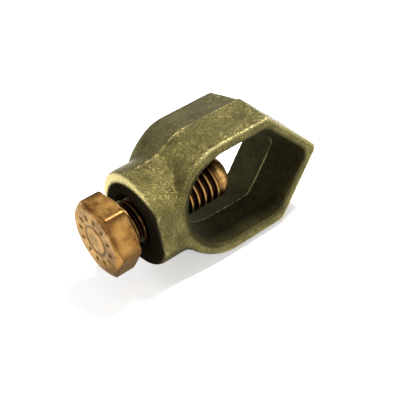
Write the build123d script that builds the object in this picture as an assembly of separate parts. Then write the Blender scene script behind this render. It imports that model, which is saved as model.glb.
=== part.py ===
from build123d import *
from math import atan2, cos, pi, radians, sin, sqrt, tan
import os

# Earth rod clamp: a cast bronze ring with a V seat, and the hexagon bolt that presses the rod into it.
# X runs along the bolt from its head to the point of the V, Y along the rod, and Z across the flanks.
# The origin is on the bolt's axis, midway between the two faces, level with the corners of the V.

# Ring, measured at its two flat faces
ring_width = 23.6            # across the outside of the flanks
ring_depth = 18.2            # from face to face, along the rod
vee_reach = 11.2             # from the corners of the V to its sharp outer point
flank_length = 12.2          # straight part of each flank
flank_wall = 2.1
vee_wall = 1.9
end_wall = 2.9               # behind the bolt end of the hole

# Draft: the pattern parts at mid-depth, and both outlines lean back from there to each face
outer_draft = 6.5            # degrees
inner_draft = 5.0            # degrees

# Radii of the outlines, at the faces
point_radius = 1.2           # outer point of the V
corner_radius = 0.6          # outer corners where the V meets the flanks
seat_radius = 2.4            # bottom of the V seat
inner_corner_radius = 3.2    # where the seat meets the flanks
edge_radius = 0.5            # tumbled edges round both faces

# Boss that the bolt is screwed through
boss_radius = 10.0
boss_reach = 16.4            # from the centre of the ring's round end to the boss's flat end
neck_radius = 5.0            # hollow between the boss and the ring
neck_blend = 0.4             # how far the hollow runs into the ring's skin
rim_round = 1.3              # cast round at the edge of the boss's end
mouth_chamfer = 0.6          # at the mouth of the tapped hole

# Bolt: 3/8 inch, 16 threads to the inch, with a hexagon head
thread_radius = 4.7625
thread_pitch = 1.5875
thread_clearance = 0.10      # all round, between the bolt and the tapped hole
bolt_length = 23.8           # under the head
turns_left = 1.8             # turns that the bolt is short of meeting the boss with its head
head_flats = 14.29
head_height = 5.4
head_chamfer = 30.0          # degrees, on the corners of the head
head_flat_top = 0.95         # flat top of the head, as a share of the width across flats
head_corner_angle = 8.0      # degrees, from the rod's direction to the nearest corner
washer_face = 0.93           # bearing ring under the head, as a share of the width across flats
washer_face_height = 0.6
tip_chamfer = 1.0

half_depth = ring_depth / 2
outer_gain = half_depth * tan(radians(outer_draft))      # how much fuller the outside is at mid-depth
inner_gain = half_depth * tan(radians(inner_draft))      # how much tighter the hole is at mid-depth
vee_angle = atan2(ring_width / 2, vee_reach)             # from the bolt's axis to each side of the V
round_end_x = -flank_length
rim_x = round_end_x - boss_reach
head_seat_x = rim_x - turns_left * thread_pitch


def house_outline(half_width, point_x, round_x, point_r, corner_r):
    """V, two flanks and a round end, closed, with its V corners rounded; drawn across the rod."""
    corner_x = point_x - half_width / tan(vee_angle)
    sides = Polyline(
        (round_x, half_width), (corner_x, half_width), (point_x, 0),
        (corner_x, -half_width), (round_x, -half_width),
    )
    end = ThreePointArc((round_x, -half_width), (round_x - half_width, 0), (round_x, half_width))
    face = make_face(sides + end)
    point = face.vertices().sort_by(Axis.X)[-1]
    face = fillet(point, point_r)
    corners = [v for v in face.vertices() if abs(v.X - corner_x) < 1e-4]
    return fillet(corners, corner_r)


def both_ways(outline, draft):
    """Solid that leans by the draft from mid-depth to each face."""
    across_rod = Plane.XZ * outline
    return extrude(across_rod, half_depth, both=True, taper=draft)


def ring_blank():
    """Outside of the ring, with its face edges rounded."""
    outline = house_outline(
        ring_width / 2 + outer_gain,
        vee_reach + outer_gain / sin(vee_angle),
        round_end_x,
        point_radius + outer_gain,
        corner_radius + outer_gain,
    )
    blank = both_ways(outline, outer_draft)
    face_edges = blank.faces().filter_by(Axis.Y).edges()
    return fillet(face_edges, edge_radius)


def ring_hole():
    """Space for the rod: the V seat, the flanks and the round end below the boss."""
    half_width = ring_width / 2 - flank_wall
    round_x = round_end_x - ring_width / 2 + end_wall + half_width
    outline = house_outline(
        half_width - inner_gain,
        vee_reach - (vee_wall + inner_gain) / sin(vee_angle),
        round_x,
        seat_radius - inner_gain,
        inner_corner_radius - inner_gain,
    )
    return both_ways(outline, -inner_draft)


def boss():
    """Round boss, hollowed where it runs into the ring, and cut flat with the ring's two faces."""
    round_radius = ring_width / 2 + outer_gain - neck_blend
    to_neck = round_radius + neck_radius
    neck_x = round_end_x - sqrt(to_neck**2 - (boss_radius + neck_radius) ** 2)
    share = round_radius / to_neck
    blend_x = round_end_x + (neck_x - round_end_x) * share
    blend_z = (boss_radius + neck_radius) * share
    turn = (atan2(boss_radius + neck_radius, neck_x - round_end_x) + pi / 2) / 2
    middle = (neck_x + neck_radius * cos(turn + pi), boss_radius + neck_radius + neck_radius * sin(turn + pi))
    eased = rim_round * (1 - sin(pi / 4))
    end = Line((rim_x, 0), (rim_x, boss_radius - rim_round))
    rim = ThreePointArc(
        (rim_x, boss_radius - rim_round), (rim_x + eased, boss_radius - eased), (rim_x + rim_round, boss_radius),
    )
    side = Line((rim_x + rim_round, boss_radius), (neck_x, boss_radius))
    hollow = ThreePointArc((neck_x, boss_radius), middle, (blend_x, blend_z))
    back = Polyline((blend_x, blend_z), (blend_x, 0), (rim_x, 0))
    turned = revolve(Plane.XZ * make_face(end + rim + side + hollow + back), Axis.X)
    return turned & Box(4 * boss_reach, ring_depth, 4 * boss_radius).move(Location((rim_x, 0, 0)))


def clamp_body():
    """Cast ring and boss, with the rod's hole and the tapped hole, chamfered at its mouth."""
    body = ring_blank() + boss() - ring_hole()
    bore_radius = thread_radius + thread_clearance
    from_mouth = (Align.CENTER, Align.CENTER, Align.MIN)
    mouth = Cone(bore_radius + mouth_chamfer, bore_radius, mouth_chamfer, align=from_mouth)
    bore = Cylinder(bore_radius, boss_reach, align=from_mouth)
    along_bolt = Plane(origin=(rim_x, 0, 0), x_dir=(0, 1, 0), z_dir=(1, 0, 0))
    return body - along_bolt * mouth - along_bolt * bore


def clamp_bolt():
    """Hexagon head with chamfered corners and a bearing ring, a round shank and a chamfered tip."""
    flats_radius = head_flats / 2
    corner = flats_radius / cos(pi / 6)
    top = flats_radius * head_flat_top
    fall = (corner - top) * tan(radians(head_chamfer))
    head_top_x = head_seat_x - head_height
    hexagon = RegularPolygon(flats_radius, 6, major_radius=False, rotation=head_corner_angle)
    along_bolt = Plane(origin=(head_top_x, 0, 0), x_dir=(0, 1, 0), z_dir=(1, 0, 0))
    prism = extrude(along_bolt * hexagon, head_height - washer_face_height)
    cone = make_face(Polyline((0, 0), (0, top), (fall, corner), (head_height, corner), (head_height, 0), (0, 0)))
    head = prism & revolve(Plane.XZ * Pos(head_top_x, 0) * cone, Axis.X)
    bearing_x = head_seat_x - washer_face_height
    tip_x = head_seat_x + bolt_length
    shank = make_face(Polyline(
        (bearing_x, 0), (bearing_x, flats_radius * washer_face), (head_seat_x, flats_radius * washer_face),
        (head_seat_x, thread_radius), (tip_x - tip_chamfer, thread_radius),
        (tip_x, thread_radius - tip_chamfer), (tip_x, 0), (bearing_x, 0),
    ))
    return head + revolve(Plane.XZ * shank, Axis.X)


os.makedirs("parts", exist_ok=True)
for name, solid in (("clamp_body", clamp_body()), ("clamp_bolt", clamp_bolt())):
    solid.label = name
    export_step(solid, f"parts/{name}.step")
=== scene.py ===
import bpy
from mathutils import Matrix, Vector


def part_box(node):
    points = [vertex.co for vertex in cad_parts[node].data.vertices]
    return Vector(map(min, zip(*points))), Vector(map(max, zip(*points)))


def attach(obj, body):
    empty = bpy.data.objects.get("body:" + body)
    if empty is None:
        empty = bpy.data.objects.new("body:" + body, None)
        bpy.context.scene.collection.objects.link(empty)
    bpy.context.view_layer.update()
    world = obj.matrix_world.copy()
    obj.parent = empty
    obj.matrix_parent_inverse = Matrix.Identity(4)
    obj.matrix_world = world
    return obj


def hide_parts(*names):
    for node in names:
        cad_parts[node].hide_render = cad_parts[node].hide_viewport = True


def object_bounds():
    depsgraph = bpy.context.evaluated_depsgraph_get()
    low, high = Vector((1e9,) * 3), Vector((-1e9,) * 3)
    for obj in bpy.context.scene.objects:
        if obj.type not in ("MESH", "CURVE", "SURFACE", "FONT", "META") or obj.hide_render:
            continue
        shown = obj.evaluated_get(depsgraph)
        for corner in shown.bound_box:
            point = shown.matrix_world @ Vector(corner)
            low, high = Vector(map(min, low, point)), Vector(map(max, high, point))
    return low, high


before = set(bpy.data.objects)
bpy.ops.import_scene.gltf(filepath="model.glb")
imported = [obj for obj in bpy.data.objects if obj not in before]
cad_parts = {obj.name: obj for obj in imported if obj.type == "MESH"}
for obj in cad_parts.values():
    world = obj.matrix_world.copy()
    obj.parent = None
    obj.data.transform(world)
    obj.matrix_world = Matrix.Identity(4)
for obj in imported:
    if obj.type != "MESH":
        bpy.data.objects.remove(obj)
cad_box = [list(corner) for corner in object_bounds()]

import bpy
import math
import numpy as np
from mathutils import Matrix, Quaternion, Vector

# Camera: a short telephoto lens close to the clamp, looking down on its front face and its bolt head.
# It leans a little, as the clamp does when it lies on the corner of its bolt head.
view_azimuth, view_elevation, view_lean = map(math.radians, (-31.75, 33.33, -11.44))
view_distance = 0.1759
lens_length = 79.87
film_width = 36.0
seat_to_middle = 0.0129
share_down = 0.306
body_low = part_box("clamp_body")[0]
looked_at = Vector((-seat_to_middle, 0.0, body_low[2] * share_down))
towards = Vector((
    -math.sin(view_azimuth) * math.cos(view_elevation),
    math.cos(view_azimuth) * math.cos(view_elevation),
    -math.sin(view_elevation),
))
lens = bpy.data.cameras.new("camera")
lens.lens = lens_length
lens.sensor_width = film_width
lens.clip_start = 0.01
camera = bpy.data.objects.new("camera", lens)
camera.location = looked_at - towards * view_distance
camera.rotation_mode = "QUATERNION"
camera.rotation_quaternion = towards.to_track_quat("-Z", "Y") @ Quaternion((0, 0, 1), view_lean)
bpy.context.scene.collection.objects.link(camera)
bpy.context.scene.camera = camera
bpy.context.scene.view_settings.view_transform = "Standard"


# Clamp body: one sand casting in bronze, tumbled and left as it came from the mould. The pattern
# parted at mid-depth, so a thin ridge of flash runs round the outside and round the rod's hole.
cast_voxel = 0.00024
skin_smoothing = 4
neck_easing = 34
neck_start, neck_fade_in = 0.0030, 0.0020
neck_stop, neck_fade_out = 0.0135, 0.0040
neck_core = 0.0078
edge_height = 0.00012
flash_height = 0.00017
flash_width = 0.00026
flash_wander = 0.00005
flash_start, flash_fade_in = 0.0012, 0.003
grain_depth = 0.000012
pit_depth = 0.00006
skin_rise = 0.00018
skin_sink = 0.00003
flank_length = 0.0122
inside_fade = 0.0015
tapped_radius = 0.0056
tip_past_tapping = 0.009
end_face_rim, end_face_fade = 0.0007, 0.0004
# A crescent on the upper back rim of the boss's end, painted as lit.
lit_crescent_offset = 0.0012
lit_crescent_radius, lit_crescent_fade = 0.0094, 0.0005
bronze_dark = (0.052, 0.043, 0.014, 1)
bronze_mid = (0.124, 0.106, 0.035, 1)
bronze_worn = (0.58, 0.50, 0.22, 1)
# Painted shade multiplied into the colour inside the ring.
ring_inside_shade = (0.32, 0.33, 0.38, 1)
inside_dullness = (0.62, 0.62, 0.62, 1)
# Painted shadow of the bolt's head on the boss's end.
head_shadow_colour = (0.024, 0.019, 0.011, 1)
# Painted shade in the tapped hole.
tapped_hole_shade = (0.02, 0.014, 0.008, 1)
bolt_low, bolt_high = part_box("clamp_bolt")


def wave_noise(places, size, seed, waves=28):
    """Smooth random field of about unit height at the given places, with bumps of the given size."""
    draw = np.random.default_rng(seed)
    total = np.zeros(len(places))
    for _ in range(waves):
        direction = draw.normal(size=3)
        direction *= draw.uniform(0.6, 1.5) * 2 * math.pi / (size * np.linalg.norm(direction))
        total += np.sin(places @ direction + draw.uniform(0, 2 * math.pi))
    return total / math.sqrt(waves / 2)


def read_points(mesh):
    """Vertex places and normals of a mesh, as two arrays."""
    places = np.empty(len(mesh.vertices) * 3)
    normals = np.empty(len(mesh.vertices) * 3)
    mesh.vertices.foreach_get("co", places)
    mesh.vertices.foreach_get("normal", normals)
    return places.reshape(-1, 3), normals.reshape(-1, 3)


def write_points(mesh, places):
    """Moves the vertices to the given places."""
    mesh.vertices.foreach_set("co", places.ravel())
    mesh.update()


def keep_value(mesh, name, values):
    """Stores one number for each vertex, for the finish to read."""
    layer = mesh.attributes.new(name, "FLOAT", "POINT")
    layer.data.foreach_set("value", values.astype(np.float32))


def eased(mesh, places, share, times):
    """Where the points go when each is drawn part of the way to the middle of its neighbours."""
    ends = np.empty(len(mesh.edges) * 2, dtype=np.int64)
    mesh.edges.foreach_get("vertices", ends)
    first, second = ends[0::2], ends[1::2]
    count = np.bincount(first, minlength=len(places)) + np.bincount(second, minlength=len(places))
    places = places.copy()
    for _ in range(times):
        total = np.zeros_like(places)
        for axis in range(3):
            total[:, axis] = np.bincount(first, places[second, axis], len(places))
            total[:, axis] += np.bincount(second, places[first, axis], len(places))
        places += (total / count[:, None] - places) * share
    return places


def even_skin(form):
    """The casting's form as a mesh of even squares, with its creases eased a little."""
    mesh = form.data.copy()
    mesh.materials.clear()
    body = bpy.data.objects.new("cast_body", mesh)
    bpy.context.scene.collection.objects.link(body)
    body.matrix_world = form.matrix_world
    remesh = body.modifiers.new("remesh", "REMESH")
    remesh.mode = "VOXEL"
    remesh.voxel_size = cast_voxel
    smooth = body.modifiers.new("smooth", "SMOOTH")
    smooth.factor = 0.5
    smooth.iterations = skin_smoothing
    finished = body.evaluated_get(bpy.context.evaluated_depsgraph_get())
    baked = bpy.data.meshes.new_from_object(finished)
    body.modifiers.clear()
    body.data = baked
    baked.transform(body.matrix_world)
    body.matrix_world = Matrix()
    return body


def ease_neck(mesh):
    """Fills the sharp meeting of boss and ring with the hollow that moulding sand leaves there."""
    places, _ = read_points(mesh)
    from_end = places[:, 0] - body_low[0]
    along = np.clip((from_end - neck_start) / neck_fade_in, 0, 1)
    along *= np.clip((neck_stop - from_end) / neck_fade_out, 0, 1)
    outside = np.hypot(places[:, 1], places[:, 2]) > neck_core
    write_points(mesh, eased(mesh, places, (0.6 * along * outside)[:, None], neck_easing))


def cast_body():
    """The casting: its even skin, with the flash, the sand's grain and a few pits raised and sunk in it."""
    body = even_skin(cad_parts["clamp_body"])
    mesh = body.data
    ease_neck(mesh)
    places, normals = read_points(mesh)
    ridge = np.sum((places - eased(mesh, places, 0.6, 12)) * normals, axis=1) / edge_height

    # Where the skin is: in the tapped hole, inside the ring, or on one of the two flat faces.
    tapped = np.hypot(places[:, 1], places[:, 2]) < tapped_radius
    tapped &= places[:, 0] < bolt_high[0] - tip_past_tapping
    skin = np.where(tapped, 0.0, 1.0)
    from_middle = places[:, 0] - np.clip(places[:, 0], -flank_length, 0.0)
    outward = from_middle * normals[:, 0] + places[:, 2] * normals[:, 2]
    inside = np.clip(-outward / inside_fade, 0, 1)
    on_flat = np.clip(np.abs(normals[:, 1]) * 1.4 - 0.4, 0, 1)

    # Flash along the parting plane, and the marks of the sand.
    sideways = np.hypot(normals[:, 0], normals[:, 2])
    ragged = 0.95 + 0.18 * wave_noise(places, 0.0013, 3)
    wander = flash_wander * wave_noise(places, 0.006, 5)
    flash = np.exp(-(((places[:, 1] - wander) / flash_width) ** 2)) * np.clip(ragged, 0.4, 1.6) * sideways
    flash *= np.clip((places[:, 0] - body_low[0] - flash_start) / flash_fade_in, 0, 1)
    grain = 0.5 * wave_noise(places, 0.0016, 7, 40) + 0.5 * wave_noise(places, 0.0008, 8, 40)
    pits = wave_noise(places, 0.0021, 11, 40) * wave_noise(places, 0.0014, 12, 40)
    pits = np.clip(pits - 2.2, 0, 1.0)
    dents = grain_depth * grain * (1 - 0.65 * on_flat) - pit_depth * pits * (1 - inside)
    depth = skin * (flash_height * flash + dents)
    depth = np.minimum(depth, skin_rise) - skin_sink
    low, high = np.array(cad_box)
    write_points(mesh, np.clip(places + normals * depth[:, None], low, high))

    # The boss's end: a painted shadow of the bolt's head, but for a crescent on its upper back rim that is
    # painted as lit.
    end_face = np.clip((body_low[0] + end_face_rim - places[:, 0]) / end_face_fade, 0, 1)
    # Painted light: beyond this circle the boss's end is lit, inside it lies the head's painted shadow.
    off_centre = np.hypot(places[:, 1] + lit_crescent_offset, places[:, 2] + lit_crescent_offset)
    end_lit_crescent = np.clip((off_centre - lit_crescent_radius) / lit_crescent_fade, 0, 1)

    keep_value(mesh, "flash", np.clip(flash * skin, 0, 1))
    keep_value(mesh, "inside", inside)
    keep_value(mesh, "ridge", 0.5 + 0.5 * ridge)
    keep_value(mesh, "tapped", 1.0 - skin)
    keep_value(mesh, "head_shadow_on_boss", end_face * (1 - end_lit_crescent))
    keep_value(mesh, "end_lit_crescent", end_face * end_lit_crescent)
    mesh.shade_smooth()
    return body


def finish_of(name):
    """A new node material: the material, its nodes, its links and its shader."""
    material = bpy.data.materials.new(name)
    material.use_nodes = True
    nodes = material.node_tree.nodes
    return material, nodes, material.node_tree.links, nodes["Principled BSDF"]


def noise_field(nodes, links, scale, detail=6.0, roughness=0.6):
    """Noise over the part's own coordinates, in metres."""
    place = nodes.new("ShaderNodeTexCoord")
    noise = nodes.new("ShaderNodeTexNoise")
    noise.inputs["Scale"].default_value = scale
    noise.inputs["Detail"].default_value = detail
    noise.inputs["Roughness"].default_value = roughness
    links.new(place.outputs["Object"], noise.inputs["Vector"])
    return noise.outputs["Fac"]


def attribute(nodes, name):
    """A number that the mesh keeps for each vertex."""
    node = nodes.new("ShaderNodeAttribute")
    node.attribute_name = name
    return node.outputs["Fac"]


def ramp(nodes, links, source, *stops):
    """Colour ramp with stops of (position, grey or colour)."""
    node = nodes.new("ShaderNodeValToRGB")
    band = node.color_ramp
    while len(band.elements) < len(stops):
        band.elements.new(0.5)
    for element, (position, shade) in zip(band.elements, stops):
        element.position = position
        element.color = shade if isinstance(shade, tuple) else (shade, shade, shade, 1)
    links.new(source, node.inputs["Fac"])
    return node.outputs["Color"]


def blend_colour(nodes, links, amount, first, second, mode="MIX"):
    """Mixes two colours or colour outputs by an amount or an output."""
    node = nodes.new("ShaderNodeMix")
    node.data_type = "RGBA"
    node.blend_type = mode
    sockets = [s for s in node.inputs if s.enabled]
    for socket, value in zip(sockets, (amount, first, second)):
        if isinstance(value, (int, float, tuple)):
            socket.default_value = value
        else:
            links.new(value, socket)
    return [s for s in node.outputs if s.enabled][0]


def add_bump(nodes, links, shader, height, strength, distance):
    """Roughens a finish by a noise field."""
    bump = nodes.new("ShaderNodeBump")
    bump.inputs["Strength"].default_value = strength
    bump.inputs["Distance"].default_value = distance
    links.new(height, bump.inputs["Height"])
    links.new(bump.outputs["Normal"], shader.inputs["Normal"])


def bronze_skin():
    """Olive bronze with painted shade in its creases and inside the ring, a duller finish inside the ring,
    worn edges, a sandy grain, and a painted shadow with a painted lit crescent on the boss's end.
    """
    material, nodes, links, shader = finish_of("cast_bronze")
    clouds = ramp(nodes, links, noise_field(nodes, links, 260.0), (0.3, bronze_dark), (0.72, bronze_mid))
    speckle = ramp(nodes, links, noise_field(nodes, links, 3000.0, 2.0), (0.38, 0.45), (0.64, 1.5))
    colour = blend_colour(nodes, links, 0.75, clouds, speckle, "MULTIPLY")
    # Painted shade: creases, where the ridge value is low, are darkened.
    hollow = ramp(nodes, links, attribute(nodes, "ridge"), (0.0, 0.35), (0.40, 1.0))
    colour = blend_colour(nodes, links, 1.0, colour, hollow, "MULTIPLY")
    # Painted shade: the inside of the ring is darkened.
    shut_in_shade = blend_colour(nodes, links, 1.0, colour, ring_inside_shade, "MULTIPLY")
    colour = blend_colour(nodes, links, attribute(nodes, "inside"), colour, shut_in_shade)
    worn = ramp(nodes, links, attribute(nodes, "ridge"), (0.72, 0.0), (1.0, 0.42))
    outer = ramp(nodes, links, attribute(nodes, "inside"), (0.1, 1.0), (0.6, 0.12))
    worn = blend_colour(nodes, links, 1.0, worn, outer, "MULTIPLY")
    seam = ramp(nodes, links, attribute(nodes, "flash"), (0.5, 0.0), (0.95, 0.48))
    # Pale bronze on the worn edges and the flash, the painted shadow of the bolt's head on the boss's end
    # with its painted lit crescent, and painted shade in the tapped hole.
    for amount, shade in (
        (worn, bronze_worn),
        (seam, bronze_worn),
        (attribute(nodes, "head_shadow_on_boss"), head_shadow_colour),
        (attribute(nodes, "end_lit_crescent"), bronze_worn),
        (attribute(nodes, "tapped"), tapped_hole_shade),
    ):
        colour = blend_colour(nodes, links, amount, colour, shade)
    links.new(colour, shader.inputs["Base Color"])
    polish = ramp(nodes, links, noise_field(nodes, links, 900.0), (0.3, 0.18), (0.7, 0.33))
    polish = blend_colour(nodes, links, attribute(nodes, "inside"), polish, inside_dullness)
    links.new(polish, shader.inputs["Roughness"])
    # No metal shine where the boss's end is painted in shadow.
    bare_metal = ramp(nodes, links, attribute(nodes, "head_shadow_on_boss"), (0.0, 0.97), (1.0, 0.0))
    links.new(bare_metal, shader.inputs["Metallic"])
    shader.inputs["Specular IOR Level"].default_value = 0.0
    shader.inputs["Specular Tint"].default_value = (0.92, 0.90, 0.76, 1)
    add_bump(nodes, links, shader, noise_field(nodes, links, 3000.0, 3.0, 0.6), 0.8, 0.00034)
    return material


casting = cast_body()
casting.data.materials.append(bronze_skin())
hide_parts("clamp_body")
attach(casting, "body")


# Bolt: silicon bronze, headed hot and threaded to the head by rolling. The head's corners are
# chamfered, a bearing ring stands under it, and its flat top has a plain turned ring and ticks.
head_flats = 0.01429
head_height = 0.0054
head_corner_angle = math.radians(8.0)
head_flat_top = 0.95
head_chamfer = math.radians(30.0)
head_inset = 0.00002
corner_ease = 0.00028
corner_wear = 0.0009
under_edge_ease = 0.00016
washer_face = 0.93
washer_face_height = 0.0006
washer_rim_ease = 0.0001
hidden_step = 0.0006
thread_radius = 0.0047625
thread_pitch = 0.0015875
thread_depth = 0.00085
thread_gap = 0.0001
crest_width = 0.10
flank_width = 0.72
steps_a_turn = 14
tip_chamfer = 0.0011
tip_inset = 0.0002
# Side of the tip that gets a painted gold highlight.
tip_highlight_side = math.radians(150)
runout = 0.0024
shade_start, shade_fade = 0.0005, 0.0004
around = 240
mark_depth = 0.00018
ring_radius = 0.0031
ring_width = 0.00036
tick_count = 12
tick_radius = 0.0048
tick_length = 0.00062
tick_width = 0.00034
bolt_tan = (0.33, 0.178, 0.048, 1)
bolt_brown = (0.125, 0.052, 0.013, 1)
# Gold for worn corners and painted highlights; near black for the marks, the thread's flanks and roots, and
# painted shade.
bolt_gold = (0.58, 0.34, 0.11, 1)
bolt_grime_and_shade = (0.018, 0.006, 0.003, 1)
head_top_x = bolt_low[0]
head_seat_x = head_top_x + head_height
tip_x = bolt_high[0]


def hexagon_radius(angle):
    """Distance from the axis to the head's side, with each corner eased."""
    sixth = math.pi / 3
    off = (angle - head_corner_angle) % sixth - sixth / 2
    sharp = head_flats / 2 / np.cos(off)
    limit = head_flats / 2 / math.cos(sixth / 2) - corner_ease
    return np.where(sharp > limit, limit + (sharp - limit) * 0.35, sharp)


def head_marks(radius, angle):
    """Share of the full depth cut by a shallow ring and by short radial ticks on the head's top."""
    ring = np.exp(-(((radius - ring_radius) / ring_width) ** 2))
    turn = (angle * tick_count / (2 * math.pi)) % 1.0 - 0.5
    across = turn * 2 * math.pi / tick_count * radius
    tick = np.exp(-((across / tick_width) ** 4)) * np.exp(-(((radius - tick_radius) / tick_length) ** 6))
    return np.clip(0.8 * ring + tick, 0, 1)


def head_rows(angle):
    """Rings of the head, from the middle of its top to the foot of its bearing ring.

    Each row is (x, radius, darkening, glint), with one number or one for each step round. The darkening
    covers the marks, bands by the chamfer and painted shade; the glint is gold on wear and painted
    highlights."""
    side = hexagon_radius(angle)
    top = head_flats / 2 * head_flat_top
    bearing = head_flats / 2 * washer_face
    under = head_seat_x - washer_face_height
    slant = math.tan(head_chamfer)
    arris = np.clip((side - head_flats / 2) / corner_wear, 0, 1) ** 3
    rows = []
    # The top: darkened in its marks, with gold round its rim.
    for share in np.linspace(0.02, 1.0, 64):
        radius = np.full(around, top * share)
        marked = head_marks(radius, angle)
        glint = 0.2 * max(0.0, share * 20 - 19)
        rows.append((head_top_x + head_inset + mark_depth * marked, radius, marked, glint))
    # The chamfer, darker where it meets the sides.
    for share in np.linspace(0.04, 1.0, 14):
        radius = top + (side - top) * share
        stain_and_shade = 0.6 * max(0.0, share * 4 - 3)
        rows.append((head_top_x + head_inset + (radius - top) * slant, radius, stain_and_shade, 0.0))
    start = head_top_x + head_inset + (side - top) * slant
    # The sides: darker just below the chamfer, painted shade on the eased corners, and gold on the worn
    # corners and along the lower edge.
    for share in np.linspace(0.03, 1.0, 22):
        radius = side - under_edge_ease * np.clip((share - 0.94) / 0.06, 0, 1) ** 2
        worn = np.maximum(arris, 0.9 * max(0.0, share * 12 - 11)) * 0.9
        stain_and_shade = np.maximum(0.6 * max(0.0, 1.0 - share * 5), 0.8 * arris)
        rows.append((start + (under - start) * share, radius, stain_and_shade, worn * 0.12))
    # Painted shade under the head, out to the bearing ring.
    for share in np.linspace(0.1, 1.0, 6):
        rows.append((under, side + (bearing - side) * share, 0.5, 0.0))
    # The bearing ring, with a painted highlight round its rim.
    for share in (0.3, 0.7, 0.9, 1.0):
        rim = bearing - washer_rim_ease * share**4
        rows.append((under + washer_face_height * share, rim, 0.0, share**4))
    # Painted shade where the bearing ring meets the shank.
    for share in (0.2, 0.5, 0.8, 1.0):
        rows.append((head_seat_x, bearing + (thread_radius - hidden_step - bearing) * share, 0.9, 0.0))
    return rows


def thread_rows(angle):
    """Rings of the thread, which runs out before the chamfered tip, in the same form."""
    rows = []
    steps = int((tip_x - head_seat_x) / thread_pitch * steps_a_turn)
    for x in np.linspace(head_seat_x + thread_gap, tip_x, steps):
        phase = (x / thread_pitch - angle / (2 * math.pi)) % 1.0
        slope = np.clip((np.abs(phase - 0.5) * 2 - crest_width) / flank_width, 0, 1)
        fade = min(1.0, max(0.0, (tip_x - x - tip_chamfer) / runout))
        from_tip = max(0.0, 1.0 - (tip_x - x) / (1.7 * tip_chamfer))
        radius = thread_radius - thread_depth * slope * fade
        radius = np.minimum(radius, thread_radius - tip_inset - tip_chamfer * from_tip**1.6)
        # Painted highlight: gold on the tip's upper front side.
        gold_highlight = 1.6 * np.clip(np.cos(angle - tip_highlight_side), 0, 1) ** 3 * (1 - fade)
        # Painted shadow on the thread in the gap between the head and the boss.
        shaded = max(0.0, min(1.0, (body_low[0] + shade_start - x) / shade_fade))
        # The thread's flanks are darkened, and its crests carry a painted highlight in gold.
        cut = np.clip(slope * 6, 0, 1) * fade + 0.8 * (1 - fade)
        crest = np.maximum((1.0 - cut) * 0.55 * fade, gold_highlight)
        grime_and_shade = np.maximum(cut * np.clip(1 - gold_highlight, 0, 1), 0.6 * shaded)
        rows.append((x, radius, grime_and_shade, crest))
    # The tip's end, with a faint painted highlight.
    for share in np.linspace(0.9, 0.06, 10):
        rows.append((tip_x, (thread_radius - tip_chamfer - tip_inset) * share, 0.1, 0.3))
    return rows


def threaded_bolt():
    """The bolt as one closed skin over its rings, from the top of its head to its tip."""
    angle = np.linspace(0, 2 * math.pi, around, endpoint=False)
    rows = head_rows(angle) + thread_rows(angle)
    level = np.zeros(around)
    places = []
    grime_and_shade_rows = []
    glints = []
    for x, radius, grime_and_shade, glint in rows:
        places.append(np.stack([level + x, radius * np.cos(angle), radius * np.sin(angle)], axis=1))
        grime_and_shade_rows.append(level + grime_and_shade)
        glints.append(level + glint)
    faces = []
    for row in range(len(rows) - 1):
        for step in range(around):
            here = row * around + step
            beside = row * around + (step + 1) % around
            faces.append((here, here + around, beside + around, beside))
    faces.append(tuple(range(around)))
    faces.append(tuple(reversed(range((len(rows) - 1) * around, len(rows) * around))))
    mesh = bpy.data.meshes.new("threaded_bolt")
    mesh.from_pydata(np.concatenate(places).tolist(), [], faces)
    mesh.validate()
    keep_value(mesh, "grime_and_shade", np.concatenate(grime_and_shade_rows))
    keep_value(mesh, "glint", np.concatenate(glints))
    mesh.update()
    mesh.shade_smooth()
    bolt = bpy.data.objects.new("threaded_bolt", mesh)
    bpy.context.scene.collection.objects.link(bolt)
    return bolt


def bolt_bronze():
    """Copper-tan bronze, darkened in the marks, along the thread's flanks and roots and by painted shade,
    with gold on worn corners and painted highlights.
    """
    material, nodes, links, shader = finish_of("bolt_bronze")
    colour = ramp(nodes, links, noise_field(nodes, links, 330.0, 5.0), (0.38, bolt_brown), (0.62, bolt_tan))
    patchy = ramp(nodes, links, noise_field(nodes, links, 1200.0, 4.0), (0.35, 0.35), (0.6, 1.0))
    # Gold for the worn corners and for painted highlights on the bearing ring, the thread's crests and the
    # tip, broken into patches.
    worn = blend_colour(nodes, links, 1.0, attribute(nodes, "glint"), patchy, "MULTIPLY")
    colour = blend_colour(nodes, links, worn, colour, bolt_gold)
    # Darkened in the marks, along the thread's flanks and roots and near the chamfer, and by painted shade
    # under the head, at its seat, on its eased corners and on the thread in the gap behind it.
    colour = blend_colour(nodes, links, attribute(nodes, "grime_and_shade"), colour, bolt_grime_and_shade)
    links.new(colour, shader.inputs["Base Color"])
    polish = ramp(nodes, links, noise_field(nodes, links, 1500.0), (0.3, 0.28), (0.7, 0.46))
    links.new(polish, shader.inputs["Roughness"])
    shader.inputs["Metallic"].default_value = 1.0
    shader.inputs["Specular Tint"].default_value = (0.93, 0.88, 0.72, 1)
    add_bump(nodes, links, shader, noise_field(nodes, links, 1900.0, 4.0), 0.25, 0.00005)
    return material


bolt = threaded_bolt()
bolt.data.materials.append(bolt_bronze())
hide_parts("clamp_bolt")
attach(bolt, "bolt")


# Studio: a wide white sheet under the clamp, a small strong lamp above and to the right, weak ones
# to the left and in front, and a white surround. Sheet and surround look white, but throw back less
# light than they seem to, so that the metal's shaded sides stay dark.
sheet_size = 3.0
sheet_white = (0.95, 0.95, 0.95, 1)
sheet_for_soft_light = (0.30, 0.30, 0.30, 1)
near_glow, far_glow = 0.45, 0.80
glow_start, glow_stop = 0.20, 0.80
surround_for_soft_light = 0.30


def joined(nodes, links, operation, first, second):
    """One output worked out from two."""
    node = nodes.new("ShaderNodeMath")
    node.operation = operation
    links.new(first, node.inputs[0])
    links.new(second, node.inputs[1])
    return node.outputs[0]


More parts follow.
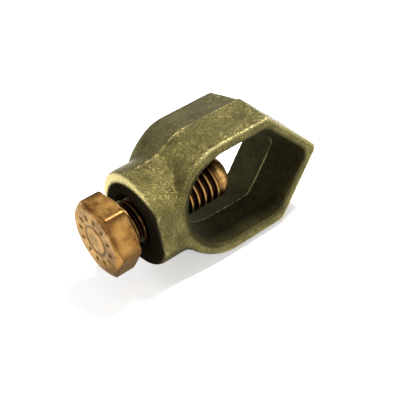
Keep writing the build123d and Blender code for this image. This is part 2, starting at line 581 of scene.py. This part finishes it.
def spread(nodes, links, source, low, high, start=0.0, stop=1.0):
    """An output that goes from low to high as its source goes from start to stop."""
    node = nodes.new("ShaderNodeMapRange")
    for name, value in (("From Min", start), ("From Max", stop), ("To Min", low), ("To Max", high)):
        node.inputs[name].default_value = value
    links.new(source, node.inputs["Value"])
    return node.outputs["Result"]


def clear_ray(nodes, links):
    """One for what is seen directly, in a reflection or through glass, and nothing for soft light."""
    seen = nodes.new("ShaderNodeLightPath").outputs
    watched = joined(nodes, links, "MAXIMUM", seen["Is Camera Ray"], seen["Is Glossy Ray"])
    return joined(nodes, links, "MAXIMUM", watched, seen["Is Transmission Ray"])


def white_sheet():
    """Matt white, with a glow that makes up for the lamps' fall-off far from the clamp."""
    material, nodes, links, shader = finish_of("white_sheet")
    shader.inputs["Roughness"].default_value = 0.9
    shader.inputs["Specular IOR Level"].default_value = 0.1
    shader.inputs["Emission Color"].default_value = (1, 1, 1, 1)
    colour = blend_colour(nodes, links, clear_ray(nodes, links), sheet_for_soft_light, sheet_white)
    links.new(colour, shader.inputs["Base Color"])
    place = nodes.new("ShaderNodeTexCoord")
    reach = nodes.new("ShaderNodeVectorMath")
    reach.operation = "LENGTH"
    links.new(place.outputs["Object"], reach.inputs[0])
    glow = spread(nodes, links, reach.outputs["Value"], near_glow, far_glow, glow_start, glow_stop)
    seen = nodes.new("ShaderNodeLightPath").outputs["Is Camera Ray"]
    links.new(joined(nodes, links, "MULTIPLY", seen, glow), shader.inputs["Emission Strength"])
    return material


def soft_lamp(name, place, size, power):
    """Square lamp that faces the clamp."""
    data = bpy.data.lights.new(name, "AREA")
    data.size = size
    data.energy = power
    lamp = bpy.data.objects.new(name, data)
    lamp.location = place
    lamp.rotation_mode = "QUATERNION"
    lamp.rotation_quaternion = (looked_at - Vector(place)).to_track_quat("-Z", "Y")
    bpy.context.scene.collection.objects.link(lamp)


half = sheet_size / 2
sheet_z = min(body_low[2], bolt_low[2])
corners = [(x * half, y * half, sheet_z) for x, y in ((-1, -1), (1, -1), (1, 1), (-1, 1))]
sheet_mesh = bpy.data.meshes.new("floor")
sheet_mesh.from_pydata(corners, [], [(0, 1, 2, 3)])
sheet = bpy.data.objects.new("floor", sheet_mesh)
bpy.context.scene.collection.objects.link(sheet)
sheet.data.materials.append(white_sheet())

soft_lamp("key_lamp", (0.15, -0.05, 0.42), 0.08, 4.4)
soft_lamp("left_lamp", (-0.36, 0.16, 0.20), 0.12, 0.55)
soft_lamp("front_lamp", (-0.06, -0.46, 0.16), 0.20, 0.8)

surround = bpy.data.worlds.new("surround")
surround.use_nodes = True
bpy.context.scene.world = surround
nodes = surround.node_tree.nodes
links = surround.node_tree.links
nodes["Background"].inputs["Color"].default_value = (1, 1, 1, 1)
strength = spread(nodes, links, clear_ray(nodes, links), surround_for_soft_light, 1.0)
links.new(strength, nodes["Background"].inputs["Strength"])
